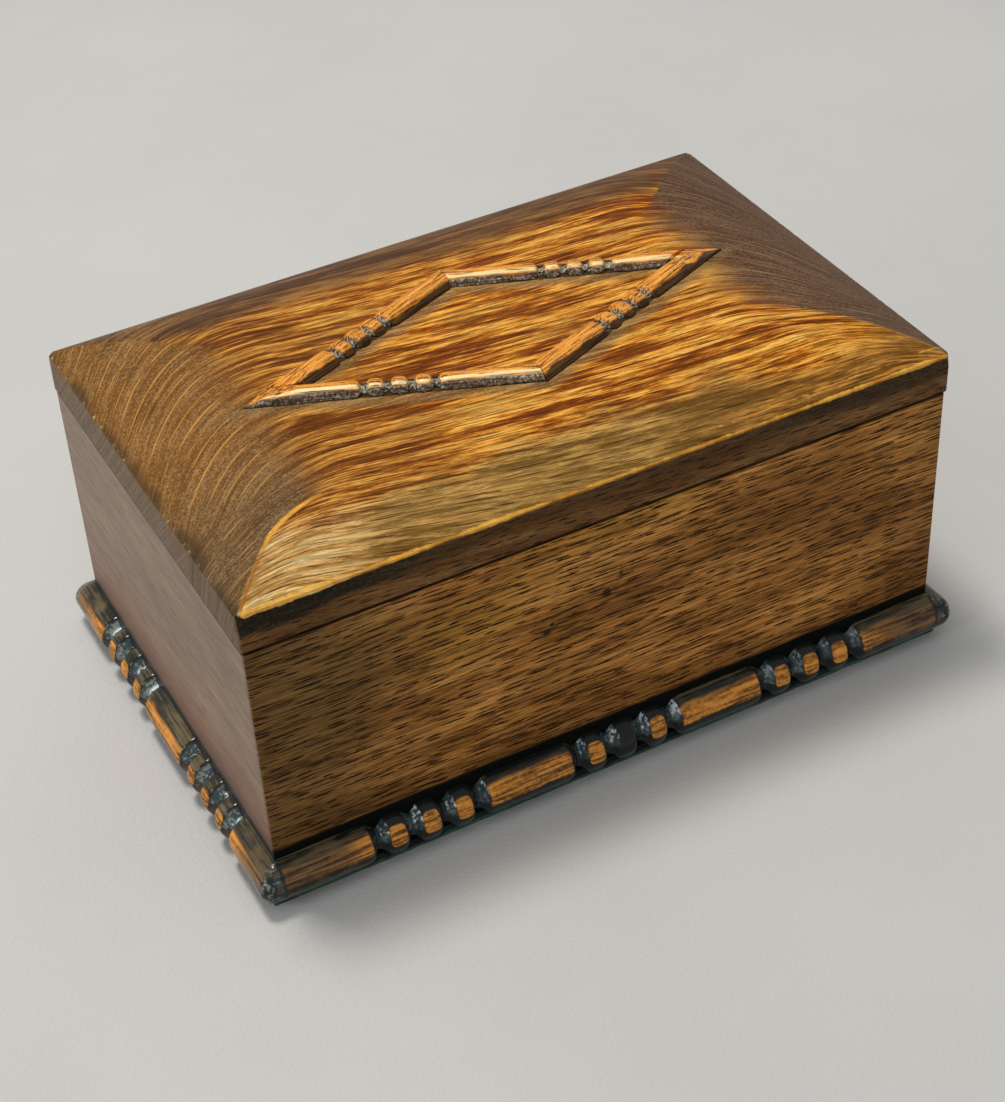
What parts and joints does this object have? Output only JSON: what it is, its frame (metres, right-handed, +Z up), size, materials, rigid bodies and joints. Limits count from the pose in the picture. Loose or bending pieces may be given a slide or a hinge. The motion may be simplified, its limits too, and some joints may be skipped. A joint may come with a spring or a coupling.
{
  "type": "cigarette box",
  "caption": "Oak table box with a hinged pillow lid, a turned lozenge on the lid, split-turned base moulding, cedar-lined compartments and a baize underside.",
  "frame": {"origin": "centre of the underside, on the surface it stands on", "axes": "+X to the right along the long front, +Y to the back, where the hinges are, +Z up"},
  "size_m": [0.1746, 0.1146, 0.0865],
  "materials": {
    "oak_panel": "waxed, dark-stained oak, rubbed",
    "oak_end": "waxed, dark-stained oak, soft sheen",
    "oak_lid": "waxed, antiqued oak with burnt edges",
    "oak_moulding": "blackened coves, rubbed bobbins",
    "oak_lozenge": "blackened coves, rubbed crests",
    "oak_bottom": "plain sawn oak",
    "cedar": "bare, planed",
    "brass": "aged, dull",
    "screw_brass": "aged, dull",
    "baize": "felted wool"
  },
  "bodies": {
    "case": {"front_panel": "oak_panel", "back_panel": "oak_panel", "left_end": "oak_end", "right_end": "oak_end", "bottom_panel": "oak_bottom", "baize": "baize", "base_moulding_front": "oak_moulding", "base_moulding_back": "oak_moulding", "base_moulding_left": "oak_moulding", "base_moulding_right": "oak_moulding", "lining_floor": "cedar", "lining_front": "cedar", "lining_back": "cedar", "lining_left": "cedar", "lining_right": "cedar", "divider": "cedar", "hinge_left_case_leaf": "brass", "hinge_right_case_leaf": "brass", "hinge_left_pin": "brass", "hinge_right_pin": "brass", "case_hinge_screws": "screw_brass"},
    "lid": {"lid_slab": "oak_lid", "lozenge_bar_front_left": "oak_lozenge", "lozenge_bar_front_right": "oak_lozenge", "lozenge_bar_back_left": "oak_lozenge", "lozenge_bar_back_right": "oak_lozenge", "hinge_left_lid_leaf": "brass", "hinge_right_lid_leaf": "brass", "lid_hinge_screws": "screw_brass"}
  },
  "joints": [
    {"name": "lid_hinge", "type": "hinge", "parent": "case", "child": "lid", "pos_m": [0, 0.0525, 0.06765], "axis": [-1, 0, 0], "range_deg": [0, 100]}
  ]
}
